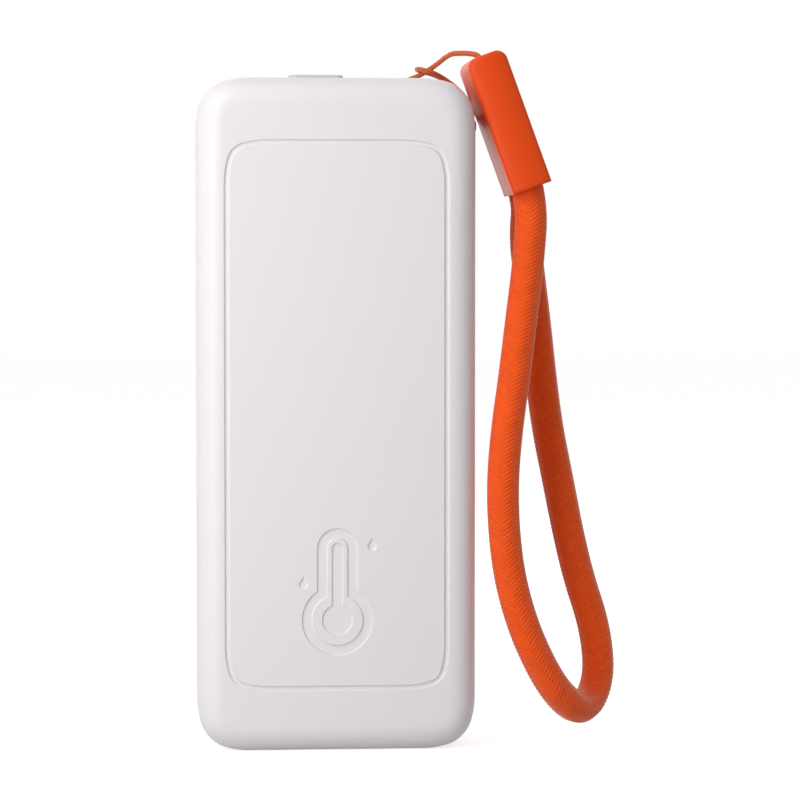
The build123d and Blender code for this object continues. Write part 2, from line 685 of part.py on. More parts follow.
def strap_ferrule():
    """The moulded block that grips both ends of the braid and of the thin loop.

    Its front and back are crowned, its shoulders are round and all its edges but those of the mouth are soft.
    """
    x = FERRULE_WIDTH / 2
    y = FERRULE_DEPTH / 2
    edge = y - FERRULE_CROWN
    outline = make_face(
        [
            ThreePointArc((-x, -edge), (0, -y), (x, -edge)),
            Line((x, -edge), (x, edge)),
            ThreePointArc((x, edge), (0, y), (-x, edge)),
            Line((-x, edge), (-x, -edge)),
        ]
    )
    ferrule = extrude(outline, amount=FERRULE_LENGTH)
    ferrule = fillet(ferrule.edges().filter_by(Axis.Y).group_by(Axis.Z)[-1], FERRULE_SHOULDER)
    crowned = [ferrule.faces().sort_by(Axis.Y)[end] for end in (0, -1)]
    rims = [rim for face in crowned for rim in face.edges().sort_by(Axis.Z)[1:]]
    ferrule = fillet(rims, FERRULE_EDGE)
    for side in (-1, 1):
        radius = STRAP_DIAMETER / 2 + CORD_CLEARANCE
        ferrule -= upright_rod(radius, 0, SOCKET_DEPTH, 0, side * SOCKET_OFFSET)
    slot = Rot(0, 0, 90) * SlotCenterToCenter(2 * THIN_OFFSET, THIN_DIAMETER + 2 * CORD_CLEARANCE)
    ferrule -= extrude(Pos(0, 0, FERRULE_LENGTH - THIN_HOLE_DEPTH) * slot, amount=THIN_HOLE_DEPTH)
    return FERRULE_FRAME.location * ferrule


def in_ferrule(y, height):
    """A point on a line parallel to the ferrule's axis."""
    return FERRULE_FRAME.from_local_coords(Vector(0, y, height))


def cord_tube(name, points, diameter):
    """A tube along straight runs joined by arcs as large as their runs allow."""
    runs = [b - a for a, b in zip(points, points[1:])]
    radii = []
    for before, after in zip(runs, runs[1:]):
        half_turn = radians(before.get_angle(after)) / 2
        radii.append(ARC_SHARE * min(before.length, after.length) / tan(half_turn))
    path = FilletPolyline(*points, radius=radii)
    start = Plane(origin=points[0], z_dir=runs[0])
    tube = sweep(start * Circle(diameter / 2), path=path)
    section = pi * diameter**2 / 4
    print(name, "length", round(path.length, 1), "smallest radii", [round(r, 2) for r in sorted(radii)[:6]])
    print(name, "volume", round(tube.volume, 2), "section times length", round(section * path.length, 2))
    return tube


def strap_cord():
    ends = [
        [in_ferrule(side * SOCKET_OFFSET, STRAP_GRIP), in_ferrule(side * SOCKET_OFFSET, -STRAP_LEAD)]
        for side in (-1, 1)
    ]
    loop = [CORNER + Vector(*point) for point in STRAP_ROUTE]
    return cord_tube("strap_cord", ends[0] + loop + ends[1][::-1], STRAP_DIAMETER)


def thin_strand(side):
    """One of the two side-by-side strands, from the ferrule through the tunnel to the hitch."""
    gripped = in_ferrule(side * THIN_OFFSET, FERRULE_LENGTH - THIN_GRIP)
    leading = in_ferrule(side * THIN_OFFSET, FERRULE_LENGTH + THIN_LEAD)
    return [gripped, leading] + [CORNER + Vector(x, y + side * THIN_OFFSET, z) for x, y, z in THIN_ROUTE]


def thin_loop():
    hitch = [CORNER + Vector(*point) for point in HITCH_ROUTE]
    return cord_tube("thin_loop", thin_strand(-1) + hitch + thin_strand(1)[::-1], THIN_DIAMETER)


PARTS = {
    "front_cover": front_cover,
    "rear_cover": rear_cover,
    "cover_seal": cover_seal,
    "cover_screws": cover_screws,
    "circuit_board": circuit_board,
    "board_screws": board_screws,
    "humidity_sensor_chip": humidity_sensor_chip,
    "sensor_membrane": sensor_membrane,
    "radio_module": radio_module,
    "radio_shield_can": radio_shield_can,
    "chip_antenna": chip_antenna,
    "microcontroller": microcontroller,
    "clock_crystal": clock_crystal,
    "board_capacitors": board_capacitors,
    "switch_body": switch_body,
    "switch_plunger": switch_plunger,
    "power_button": power_button,
    "battery_tray": battery_tray,
    "battery_left": lambda: battery(-1),
    "battery_right": lambda: battery(1),
    "positive_contact": positive_contact,
    "negative_contact": negative_contact,
    "link_contact": link_contact,
    "strap_ferrule": strap_ferrule,
    "thin_loop": thin_loop,
    "strap_cord": strap_cord,
}


def main():
    os.makedirs("parts", exist_ok=True)
    for name, make in PARTS.items():
        made = make()
        solids = Compound(children=made) if isinstance(made, list) else made
        export_step(solids, os.path.join("parts", name + ".step"))


if __name__ == "__main__":
    main()
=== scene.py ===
"""Dresses a packed temperature and humidity sensor for a studio picture.

Metres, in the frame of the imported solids: the origin is on the floor under the middle of the housing,
+Z is up and the front faces -Y. The covers, the button and the ferrule keep their solids' meshes and get
their finishes here, and so do the pieces inside. The two cords are braided along their solids' routes.
"""

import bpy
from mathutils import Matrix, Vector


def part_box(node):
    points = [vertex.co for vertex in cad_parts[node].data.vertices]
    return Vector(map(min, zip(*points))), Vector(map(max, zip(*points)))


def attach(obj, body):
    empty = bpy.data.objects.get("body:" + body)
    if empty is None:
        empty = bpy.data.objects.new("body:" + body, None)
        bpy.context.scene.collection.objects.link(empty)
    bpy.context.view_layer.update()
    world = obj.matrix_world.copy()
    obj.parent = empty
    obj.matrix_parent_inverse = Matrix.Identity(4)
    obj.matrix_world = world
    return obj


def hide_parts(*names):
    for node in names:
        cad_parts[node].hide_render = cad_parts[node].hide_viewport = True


bl_info = {
    "name": "Sensor Dressing",
    "version": (1, 0, 0),
    "blender": (4, 5, 0),
    "location": "3D View > Sidebar > Sensor",
    "description": "Finishes a temperature and humidity sensor, braids its cords and sets its stage",
    "category": "Object",
}

import math

import bpy
import numpy as np
from bpy.props import FloatProperty, FloatVectorProperty, IntProperty, PointerProperty
from bpy.types import NodeSocket, Operator, Panel, PropertyGroup
from mathutils import Vector

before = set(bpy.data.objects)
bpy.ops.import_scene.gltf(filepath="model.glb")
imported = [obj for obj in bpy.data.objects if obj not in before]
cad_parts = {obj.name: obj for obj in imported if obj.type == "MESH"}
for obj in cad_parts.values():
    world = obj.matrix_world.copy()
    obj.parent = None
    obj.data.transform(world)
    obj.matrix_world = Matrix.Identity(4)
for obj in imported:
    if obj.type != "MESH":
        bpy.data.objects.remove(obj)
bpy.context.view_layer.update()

HOUSING_LOW, HOUSING_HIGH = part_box("front_cover")
CORNER = Vector((HOUSING_HIGH.x, 0.0, HOUSING_HIGH.z))
BODY = "housing"

# Ferrule that grips the cords: its mouth is measured from the housing's top right corner
FERRULE_TILT = math.radians(20.1)
FERRULE_TURN = math.radians(1.4)
FERRULE_LENGTH = 0.02335
FERRULE_MOUTH = CORNER + Vector((0.00946, 0.0, -0.018))
FERRULE_UP = Vector((-math.sin(FERRULE_TILT), 0.0, math.cos(FERRULE_TILT)))
FERRULE_FACE = Vector((math.cos(FERRULE_TILT), 0.0, math.sin(FERRULE_TILT)))
FERRULE_BACK = Vector((0.0, math.cos(FERRULE_TURN), 0.0)) - FERRULE_FACE * math.sin(FERRULE_TURN)

# Wrist strap: how its ends sit in the ferrule, then its route from the housing's top right corner
SOCKET_OFFSET = 0.00305
STRAP_GRIP = 0.006
STRAP_LEAD = 0.0015
STRAP_ROUTE = (
    (0.00915, -0.0032, -0.031),
    (0.0079, -0.0044, -0.0398),
    (0.0067, -0.0057, -0.0487),
    (0.0053, -0.0068, -0.0577),
    (0.0045, -0.0075, -0.0663),
    (0.0047, -0.0078, -0.0746),
    (0.0057, -0.0079, -0.0826),
    (0.0079, -0.0078, -0.0904),
    (0.0108, -0.0074, -0.0969),
    (0.0134, -0.0063, -0.1012),
    (0.0159, -0.0042, -0.1039),
    (0.0184, -0.0005, -0.1054),
    (0.0205, 0.003, -0.1047),
    (0.022, 0.0054, -0.1023),
    (0.0226, 0.0066, -0.0983),
    (0.0217, 0.0073, -0.0916),
    (0.0192, 0.0074, -0.0841),
    (0.0172, 0.0072, -0.0758),
    (0.0155, 0.0068, -0.0673),
    (0.0136, 0.0062, -0.0584),
    (0.0123, 0.0054, -0.0492),
    (0.0112, 0.0043, -0.04),
    (0.00995, 0.0032, -0.0315),
    (0.00935, 0.00315, -0.0255),
)

# Thin loop: two strands side by side through the tunnel, and the hitch that joins them
THIN_OFFSET = 0.00055
THIN_GRIP = 0.0016
THIN_LEAD = 0.0003
THIN_ROUTE = (
    (-0.0002, 0.0011, 0.0046),
    (-0.0018, 0.0022, 0.0047),
    (-0.0034, 0.0034, 0.00465),
    (-0.0057, 0.0058, 0.0027),
    (-0.0083, 0.0074, 0.0011),
    (-0.0102, 0.0076, 0.0005),
    (-0.011, 0.0076, -0.0009),
    (-0.011, 0.0076, -0.0037),
    (-0.0105, 0.0076, -0.0061),
    (-0.0089, 0.0076, -0.00735),
    (-0.005, 0.0076, -0.0074),
    (-0.0024, 0.0076, -0.00737),
    (-0.0005, 0.0076, -0.0074),
    (0.0006, 0.0076, -0.0068),
    (0.00085, 0.00765, -0.0056),
    (0.00068, 0.0076, -0.0037),
    (-0.00142, 0.0076, -0.0012),
    (-0.00385, 0.0076, 0.00066),
)
HITCH_ROUTE = (
    (-0.006, 0.005, 0.0016),
    (-0.0071, 0.0047, 0.00185),
    (-0.0079, 0.0049, 0.0021),
    (-0.00855, 0.0059, 0.00225),
    (-0.00855, 0.0075, 0.00225),
    (-0.0079, 0.0085, 0.0021),
    (-0.0071, 0.0087, 0.00185),
    (-0.006, 0.0084, 0.0016),
)

# Mesh of a braided cord: its steps, where its columns start, and the heights of a float from 0 to 1
SPLINE_STEPS = 40
STEPS_ALONG_FLOAT = 5
STEPS_ACROSS_FLOAT = 7
LEAST_COLUMNS = 4
FIRST_COLUMN = 1.25
PLAIN_END_FLOATS = 3.0
FLOAT_ROUNDNESS = 0.6
FLOAT_SIDE_HEIGHT = 0.55
COLUMN_SEAM_HEIGHT = 0.6
BRAID_MAP = "Braid"

# Yarn: its fibres and fuzz, then how its shades change its colour and how painted shade darkens its gaps
FIBRES_IN_FLOAT = 4.0
FIBRE_LEAN = 0.6
FIBRE_RELIEF = 0.3
FUZZ_SCALE = 9000.0
FUZZ_DEPTH = 0.00002
FUZZ_STRENGTH = 0.6
DARK_SHADE = 0.92
LIGHT_SHADE = 1.06
# Painted shade: how much darker the yarn is painted in the gaps between floats, and over what share of a
# float
GAP_PAINTED_SHADE = 0.5
PAINTED_SHADE_SHARE = 0.25

# Glass cloth in the circuit board
GLASS_PITCH = 0.0006
GLASS_GAP = 0.00006
GLASS_DEPTH = 0.00001
GLASS_STRENGTH = 0.4

# Drawn metal
STREAK_STRETCH = 14.0
STREAK_DEPTH = 0.000004
TARNISH_SHADE = 0.85

# Soft edges
EDGE_SAMPLES = 8

# Stage
WHITE = (1.0, 1.0, 1.0, 1.0)
FLOOR_SIDE = 4.0
SENSOR_WIDTH = 36.0
CLIP_START = 0.01
UPWARDS = Vector((0.0, 0.0, 1.0))
BACKWARDS = Vector((0.0, 1.0, 0.0))


def length_property(name, description, default):
    """A length that a user may change."""
    return FloatProperty(
        name=name,
        description=description,
        default=default,
        min=0.0,
        precision=5,
        subtype="DISTANCE",
        unit="LENGTH",
    )


def angle_property(name, description, degrees):
    """An angle that a user may change, written in degrees."""
    return FloatProperty(
        name=name, description=description, default=math.radians(degrees), subtype="ANGLE", unit="ROTATION"
    )


def colour_property(name, description, default):
    """A colour that a user may change."""
    return FloatVectorProperty(
        name=name, description=description, default=default, size=3, min=0.0, max=1.0, subtype="COLOR"
    )


def factor_property(name, description, default):
    """A share from 0 to 1 that a user may change."""
    return FloatProperty(
        name=name, description=description, default=default, min=0.0, max=1.0, subtype="FACTOR"
    )


def power_property(name, description, default):
    """A lamp's power that a user may change."""
    return FloatProperty(name=name, description=description, default=default, min=0.0, unit="POWER")


def columns_property(name, description, default):
    """A count of a braid's columns that a user may change."""
    return IntProperty(name=name, description=description, default=default, min=LEAST_COLUMNS)


class HousingLooks(PropertyGroup):
    """Finishes of the moulded housing."""

    shell: colour_property("Shell", "Moulded white of both covers", (0.80, 0.763, 0.784))
    button: colour_property("Button", "Moulded grey of the button", (0.60, 0.59, 0.605))
    grain: length_property("Grain", "Size of the moulded grain", 0.00022)
    grain_depth: length_property("Grain depth", "Height of the moulded grain", 0.000006)


class StrapLooks(PropertyGroup):
    """Sizes and colours of the wrist strap, its thin loop and the ferrule."""

    yarn: colour_property("Yarn", "Orange of the braided yarns", (0.93, 0.098, 0.0065))
    thin_yarn: colour_property("Thin yarn", "Duller orange of the thin cord's yarns", (0.66, 0.135, 0.039))
    ferrule: colour_property("Ferrule", "Moulded orange of the ferrule", (0.80, 0.069, 0.003))
    edge: length_property("Ferrule edge", "How far the gloss turns softly at the ferrule's edges", 0.0011)
    diameter: length_property("Strap diameter", "Outside of the braided strap", 0.0054)
    float_length: length_property("Strap float", "Length of one yarn float along the strap", 0.00068)
    float_slant: length_property("Strap slant", "How far a float leans along the strap", 0.0013)
    relief: length_property("Strap relief", "Height of a float above the gaps", 0.00015)
    columns: columns_property("Strap columns", "Columns of floats round the strap", 8)
    thin_diameter: length_property("Thin diameter", "Outside of the thin cord", 0.00085)
    thin_float_length: length_property("Thin float", "Length of one float along the thin cord", 0.00026)
    thin_float_slant: length_property("Thin slant", "How far a float leans along the thin cord", 0.00012)
    thin_relief: length_property("Thin relief", "Height of a float above the gaps", 0.00005)
    thin_columns: columns_property("Thin columns", "Columns of floats round the thin cord", 6)


class StageLooks(PropertyGroup):
    """Floor, light and camera."""

    floor: colour_property("Floor", "Colour of the floor", (0.60, 0.60, 0.60))
    floor_glow: factor_property("Floor glow", "Light added to the floor that the camera sees", 0.74)
    ambient: factor_property("Ambient", "Strength of the light from all round", 0.42)
    key_power: power_property("Key power", "Power of the soft box", 0.835)
    key_width: length_property("Key width", "Width of the soft box", 0.136)
    key_height: length_property("Key height", "Height of the soft box", 0.484)
    key_distance: length_property("Key distance", "From the soft box to the middle of the sensor", 0.268)
    key_turn: angle_property("Key turn", "How far left of the front the soft box stands", 38.6)
    key_rise: angle_property("Key rise", "How far above the sensor the soft box stands", 14.2)
    top_power: power_property("Top power", "Power of the panel overhead", 0.2)
    top_side: length_property("Top side", "Side of the panel overhead", 0.5)
    top_height: length_property("Top height", "From the sensor's top to the panel overhead", 0.5)
    back_power: power_property("Back power", "Power of the panel behind", 0.65)
    back_side: length_property("Back side", "Side of the panel behind", 0.55)
    back_distance: length_property("Back distance", "From the sensor's middle to the panel behind", 0.45)
    lens: FloatProperty(
        name="Lens", description="Focal length in millimetres", default=136.63, min=1.0, unit="CAMERA"
    )
    camera_turn: angle_property("Camera turn", "How far left of the front the camera stands", 4.131)
    camera_rise: angle_property("Camera rise", "How far above the target the camera stands", 2.7196)
    camera_distance: length_property("Camera distance", "From the camera to its target", 0.50777)
    camera_target: FloatVectorProperty(
        name="Camera target",
        description="Point in the middle of the picture",
        default=(0.0110515, 0.0, 0.0574558),
        size=3,
        subtype="TRANSLATION",
        unit="LENGTH",
    )


# Node helpers


def add_node(tree, kind, inputs=None, **settings):
    """A new node with its settings, whose inputs are values or sockets to link from."""
    node = tree.nodes.new(kind)
    for name, value in settings.items():
        setattr(node, name, value)
    for key, value in (inputs or {}).items():
        if isinstance(value, NodeSocket):
            tree.links.new(value, node.inputs[key])
        else:
            node.inputs[key].default_value = value
    return node


def math_node(tree, operation, first, second=0.0):
    """The result of one sum on two values or sockets."""
    return add_node(tree, "ShaderNodeMath", {0: first, 1: second}, operation=operation).outputs[0]


def map_range(tree, value, low, high):
    """A value from 0 to 1 spread between two limits."""
    inputs = {"Value": value, "To Min": low, "To Max": high}
    return add_node(tree, "ShaderNodeMapRange", inputs).outputs["Result"]


def cloud_noise(tree, place, scale, detail):
    """Cloudy noise from 0 to 1."""
    inputs = {"Vector": place, "Scale": scale, "Detail": detail}
    return add_node(tree, "ShaderNodeTexNoise", inputs).outputs["Fac"]


def mix_colours(tree, factor, first, second):
    """A colour between two, each a colour or a socket, by a factor."""
    node = add_node(tree, "ShaderNodeMix", {"Factor": factor}, data_type="RGBA")
    ends = [socket for socket in node.inputs if socket.type == "RGBA"]
    for end, colour in zip(ends, (first, second)):
        if isinstance(colour, NodeSocket):
            tree.links.new(colour, end)
        else:
            end.default_value = (*colour, 1.0)
    return next(socket for socket in node.outputs if socket.type == "RGBA")


def scaled(colour, factor):
    """A colour made lighter or darker."""
    return tuple(min(1.0, channel * factor) for channel in colour)


def new_group(name, inputs, outputs):
    """An empty node group with float sockets, and its two ends."""
    tree = bpy.data.node_groups.new(name, "ShaderNodeTree")
    for label, value in inputs.items():
        socket = tree.interface.new_socket(label, in_out="INPUT", socket_type="NodeSocketFloat")
        socket.default_value = value
    for label in outputs:
        tree.interface.new_socket(label, in_out="OUTPUT", socket_type="NodeSocketFloat")
    return tree, tree.nodes.new("NodeGroupInput"), tree.nodes.new("NodeGroupOutput")


def object_place(tree):
    """A point's place on the sensor."""
    return add_node(tree, "ShaderNodeTexCoord").outputs["Object"]


def moulded_grain_group():
    """Fine moulded grain and a broad, faint mottle."""
    name = "Moulded Grain"
    if name in bpy.data.node_groups:
        return bpy.data.node_groups[name]
    scales = {"Grain Scale": 4500.0, "Mottle Scale": 90.0}
    tree, given, result = new_group(name, scales, ("Height", "Mottle"))
    place = object_place(tree)
    for output, scale, detail in (("Height", "Grain Scale", 2.0), ("Mottle", "Mottle Scale", 3.0)):
        tree.links.new(cloud_noise(tree, place, given.outputs[scale], detail), result.inputs[output])
    return tree


def drawn_streaks_group():
    """Fine streaks along one direction, as rolling and drawing leave on metal."""
    name = "Drawn Streaks"
    if name in bpy.data.node_groups:
        return bpy.data.node_groups[name]
    sizes = {"Scale": 900.0, "Stretch": STREAK_STRETCH}
    tree, given, result = new_group(name, sizes, ("Height", "Tarnish"))
    place = object_place(tree)
    stretch = add_node(tree, "ShaderNodeCombineXYZ", {"X": given.outputs["Stretch"], "Y": 1.0, "Z": 1.0})
    inputs = {0: place, 1: stretch.outputs["Vector"]}
    drawn = add_node(tree, "ShaderNodeVectorMath", inputs, operation="MULTIPLY").outputs["Vector"]
    for output, vector, detail in (("Height", drawn, 2.0), ("Tarnish", place, 4.0)):
        tree.links.new(cloud_noise(tree, vector, given.outputs["Scale"], detail), result.inputs[output])
    return tree


def yarn_group():
    """Fibres along each yarn float of a braid and a shade of its own for each float."""
    name = "Yarn Floats"
    if name in bpy.data.node_groups:
        return bpy.data.node_groups[name]
    values = {"Fibres": FIBRES_IN_FLOAT, "Fuzz Scale": FUZZ_SCALE}
    tree, given, result = new_group(name, values, ("Height", "Shade", "Crown"))

    # Which float a point is on, and where: odd columns are mirrored and half a float on
    braid = add_node(tree, "ShaderNodeUVMap", uv_map=BRAID_MAP).outputs["UV"]
    parts = add_node(tree, "ShaderNodeSeparateXYZ", {"Vector": braid})
    column = math_node(tree, "FLOOR", parts.outputs["X"])
    across = math_node(tree, "FRACT", parts.outputs["X"])
    odd = math_node(tree, "MODULO", column, 2.0)
    row = math_node(tree, "ADD", parts.outputs["Y"], math_node(tree, "MULTIPLY", odd, 0.5))
    along = math_node(tree, "FRACT", row)
    mirrored = math_node(tree, "ABSOLUTE", math_node(tree, "SUBTRACT", odd, across))

    # Fibres and fuzz
    lean = math_node(tree, "SUBTRACT", mirrored, math_node(tree, "MULTIPLY", along, FIBRE_LEAN))
    waves = math_node(tree, "MULTIPLY", given.outputs["Fibres"], 2.0 * math.pi)
    fibre = math_node(tree, "SINE", math_node(tree, "MULTIPLY", lean, waves))
    fuzz = cloud_noise(tree, object_place(tree), given.outputs["Fuzz Scale"], 3.0)
    height = math_node(tree, "ADD", math_node(tree, "MULTIPLY", fibre, FIBRE_RELIEF), fuzz)
    tree.links.new(height, result.inputs["Height"])

    # A shade for each float, and how far a point is from the gaps, where the finish paints shade
    cell = add_node(tree, "ShaderNodeCombineXYZ", {"X": column, "Y": math_node(tree, "FLOOR", row)})
    inputs = {"Vector": cell.outputs["Vector"]}
    shade = add_node(tree, "ShaderNodeTexWhiteNoise", inputs, noise_dimensions="2D").outputs["Value"]
    tree.links.new(shade, result.inputs["Shade"])
    crown = math_node(tree, "SINE", math_node(tree, "MULTIPLY", along, math.pi))
    tree.links.new(crown, result.inputs["Crown"])
    return tree


def add_group(tree, group, values):
    """A group placed in a material with its own values."""
    node = add_node(tree, "ShaderNodeGroup", node_tree=group)
    for name, value in values.items():
        node.inputs[name].default_value = value
    return node.outputs


def add_bump(tree, height, depth, strength=1.0, edge=0.0):
    """The normal of a surface with a fine relief, whose edges turn softly where an edge size is given."""
    inputs = {"Height": height, "Distance": depth, "Strength": strength}
    if edge:
        soft = add_node(tree, "ShaderNodeBevel", {"Radius": edge}, samples=EDGE_SAMPLES)
        inputs["Normal"] = soft.outputs["Normal"]
    return add_node(tree, "ShaderNodeBump", inputs).outputs["Normal"]


def empty_tree(owner):
    """The node tree of a material or a world, emptied."""
    owner.use_nodes = True
    owner.node_tree.nodes.clear()
    return owner.node_tree


def start_finish(name):
    """The frame's own material of that name, or a new one, emptied, with a new shader."""
    tree = empty_tree(bpy.data.materials.get(name) or bpy.data.materials.new(name))
    shader = add_node(tree, "ShaderNodeBsdfPrincipled")
    add_node(tree, "ShaderNodeOutputMaterial", {"Surface": shader.outputs["BSDF"]})
    return tree, shader


def feed(tree, shader, **sockets):
    """Links sockets to the shader's inputs of the same name."""
    for name, socket in sockets.items():
        tree.links.new(socket, shader.inputs[name.replace("_", " ")])


def moulded_finish(slot, colour, grain, depth, roughness, mottle=0.03, mottle_scale=90.0, edge=0.0):
    """Moulded plastic or rubber: fine grain, a faint mottle and a gloss that follows both."""
    tree, shader = start_finish(slot)
    scales = {"Grain Scale": 1.0 / grain, "Mottle Scale": mottle_scale}
    surface = add_group(tree, moulded_grain_group(), scales)
    darker = scaled(colour, 1.0 - mottle)
    lighter = scaled(colour, 1.0 + mottle)
    feed(
        tree,
        shader,
        Base_Color=mix_colours(tree, surface["Mottle"], darker, lighter),
        Roughness=map_range(tree, surface["Mottle"], *roughness),
        Normal=add_bump(tree, surface["Height"], depth, edge=edge),
    )
    return shader


def metal_finish(slot, colour, roughness, scale):
    """Drawn or plated metal with fine streaks."""
    tree, shader = start_finish(slot)
    surface = add_group(tree, drawn_streaks_group(), {"Scale": scale, "Stretch": STREAK_STRETCH})
    shader.inputs["Metallic"].default_value = 1.0
    feed(
        tree,
        shader,
        Base_Color=mix_colours(tree, surface["Tarnish"], scaled(colour, TARNISH_SHADE), colour),
        Roughness=map_range(tree, surface["Height"], *roughness),
        Normal=add_bump(tree, surface["Height"], STREAK_DEPTH),
    )


# Finishes of the housing


def shell_finish(looks):
    """White moulded plastic of both covers, with a fine grain."""
    moulded_finish(
        "white_housing",
        looks.shell,
        grain=looks.grain,
        depth=looks.grain_depth,
        roughness=(0.40, 0.50),
        mottle=0.006,
    )


def button_finish(looks):
    """Pale grey moulded plastic of the button, with the covers' grain."""
    moulded_finish(
        "grey_button",
        looks.button,
        grain=looks.grain,
        depth=looks.grain_depth,
        roughness=(0.42, 0.52),
        mottle=0.012,
    )


def seal_finish():
    """Dull black rubber of the seal."""
    moulded_finish(
        "seal_rubber",
        (0.03, 0.03, 0.032),
        grain=0.00015,
        depth=0.00001,
        roughness=(0.65, 0.8),
        mottle=0.2,
    )


def screw_finish():
    """Drawn steel of the screws."""
    metal_finish("screw_steel", (0.62, 0.62, 0.63), roughness=(0.24, 0.42), scale=1500.0)


def membrane_finish():
    """Pale matt film over the sensor chip."""
    moulded_finish(
        "vent_membrane",
        (0.62, 0.63, 0.64),
        grain=0.00008,
        depth=0.00002,
        roughness=(0.7, 0.85),
        mottle=0.05,
        mottle_scale=700.0,
    )


# Finishes of the pieces inside


def board_finish():
    """Green laminate whose glass weave shows through the lacquer."""
    tree, shader = start_finish("board_laminate")
    cloth = {
        "Vector": object_place(tree),
        "Scale": 1.0,
        "Mortar Size": GLASS_GAP,
        "Brick Width": GLASS_PITCH,
        "Row Height": GLASS_PITCH,
    }
    weave = add_node(tree, "ShaderNodeTexBrick", cloth).outputs["Fac"]
    surface = add_group(tree, moulded_grain_group(), {"Grain Scale": 7000.0, "Mottle Scale": 400.0})
    feed(
        tree,
        shader,
        Base_Color=mix_colours(tree, weave, (0.012, 0.105, 0.03), (0.02, 0.15, 0.045)),
        Roughness=map_range(tree, surface["Mottle"], 0.22, 0.38),
        Normal=add_bump(tree, weave, GLASS_DEPTH, GLASS_STRENGTH),
    )
    shader.inputs["Coat Weight"].default_value = 0.3


def chip_finish():
    """Matt black of the controller and the switch."""
    moulded_finish(
        "chip_black",
        (0.018, 0.018, 0.02),
        grain=0.00012,
        depth=0.000006,
        roughness=(0.5, 0.65),
        mottle=0.15,
        mottle_scale=600.0,
    )


def ceramic_finish():
    """Tan ceramic of the antenna, the capacitors and the sensor chip."""
    moulded_finish(
        "chip_ceramic",
        (0.55, 0.46, 0.34),
        grain=0.0001,
        depth=0.000005,
        roughness=(0.3, 0.45),
        mottle=0.08,
        mottle_scale=900.0,
    )


def plated_finish():
    """Plated steel of the shield, the crystal and the contacts."""
    metal_finish("plated_steel", (0.66, 0.64, 0.6), roughness=(0.2, 0.36), scale=1100.0)


def plunger_finish():
    """Smooth black plastic of the switch's plunger."""
    moulded_finish(
        "plunger_plastic",
        (0.05, 0.05, 0.055),
        grain=0.0002,
        depth=0.000005,
        roughness=(0.4, 0.5),
        mottle=0.1,
    )


def tray_finish():
    """Coarser black plastic of the battery tray."""
    moulded_finish(
        "tray_plastic",
        (0.045, 0.045, 0.048),
        grain=0.0003,
        depth=0.000008,
        roughness=(0.45, 0.58),
        mottle=0.1,
    )


def jacket_finish():
    """Plain film round a cell, a little glossy."""
    shader = moulded_finish(
        "cell_jacket",
        (0.09, 0.1, 0.115),
        grain=0.0008,
        depth=0.000004,
        roughness=(0.2, 0.3),
        mottle=0.05,
    )
    shader.inputs["Coat Weight"].default_value = 0.2


# Finishes of the strap


def ferrule_finish(looks):
    """Glossy moulded orange with a slow ripple from the mould."""
    shader = moulded_finish(
        "ferrule_orange",
        looks.ferrule,
        grain=0.0016,
        depth=0.000012,
        roughness=(0.36, 0.46),
        mottle_scale=160.0,
        edge=looks.edge,
    )
    shader.inputs["Specular IOR Level"].default_value = 0.2


def braid_finish(name, yarn):
    """Dyed yarn: fibres along each float, a shade of its own for each float, and painted shade darker in
    the gaps.
    """
    tree, shader = start_finish(name)
    surface = add_group(tree, yarn_group(), {"Fibres": FIBRES_IN_FLOAT, "Fuzz Scale": FUZZ_SCALE})
    tint = mix_colours(tree, surface["Shade"], scaled(yarn, DARK_SHADE), scaled(yarn, LIGHT_SHADE))
    # Painted shade: the colour darkens towards the gaps between floats, where the relief's own shade falls
    painted_gap_mask = map_range(tree, surface["Crown"], PAINTED_SHADE_SHARE, 0.0)
    feed(
        tree,
        shader,
        Base_Color=mix_colours(tree, painted_gap_mask, tint, scaled(yarn, GAP_PAINTED_SHADE)),
        Roughness=map_range(tree, surface["Shade"], 0.62, 0.78),
        Normal=add_bump(tree, surface["Height"], FUZZ_DEPTH, FUZZ_STRENGTH),
    )
    shader.inputs["Specular IOR Level"].default_value = 0.15
    shader.inputs["Sheen Weight"].default_value = 1.0
    shader.inputs["Sheen Roughness"].default_value = 0.4
    shader.inputs["Sheen Tint"].default_value = (1.0, 0.8, 0.68, 1.0)


# Cords


def in_ferrule(across, height):
    """A point on a line parallel to the ferrule's axis."""
    return FERRULE_MOUTH + FERRULE_UP * height + FERRULE_BACK * across


def strap_points():
    """The strap's route, from one socket of the ferrule to the other."""
    ends = [
        [in_ferrule(side * SOCKET_OFFSET, STRAP_GRIP), in_ferrule(side * SOCKET_OFFSET, -STRAP_LEAD)]
        for side in (-1, 1)
    ]
    return ends[0] + [CORNER + Vector(point) for point in STRAP_ROUTE] + ends[1][::-1]


def thin_strand(side):
    """One strand of the thin loop, from the ferrule to the hitch."""
    grip = in_ferrule(side * THIN_OFFSET, FERRULE_LENGTH - THIN_GRIP)
    lead = in_ferrule(side * THIN_OFFSET, FERRULE_LENGTH + THIN_LEAD)
    beside = Vector((0.0, side * THIN_OFFSET, 0.0))
    return [grip, lead] + [CORNER + Vector(point) + beside for point in THIN_ROUTE]


def thin_points():
    """The thin loop's route: out along one strand, round the hitch and back along the other."""
    hitch = [CORNER + Vector(point) for point in HITCH_ROUTE]
    return thin_strand(-1) + hitch + thin_strand(1)[::-1]


def spline_line(points):
    """Points along the smooth curve that a route's points control."""
    curve = bpy.data.curves.new("route", "CURVE")
    curve.dimensions = "3D"
    curve.resolution_u = SPLINE_STEPS
    spline = curve.splines.new("NURBS")
    spline.points.add(len(points) - 1)
    for point, place in zip(spline.points, points):
        point.co = (*place, 1.0)
    spline.order_u = 3
    spline.use_endpoint_u = True
    carrier = bpy.data.objects.new("route", curve)
    mesh = bpy.data.meshes.new_from_object(carrier)
    line = np.array([vertex.co for vertex in mesh.vertices], float)
    bpy.data.meshes.remove(mesh)
    bpy.data.objects.remove(carrier)
    bpy.data.curves.remove(curve)
    return line


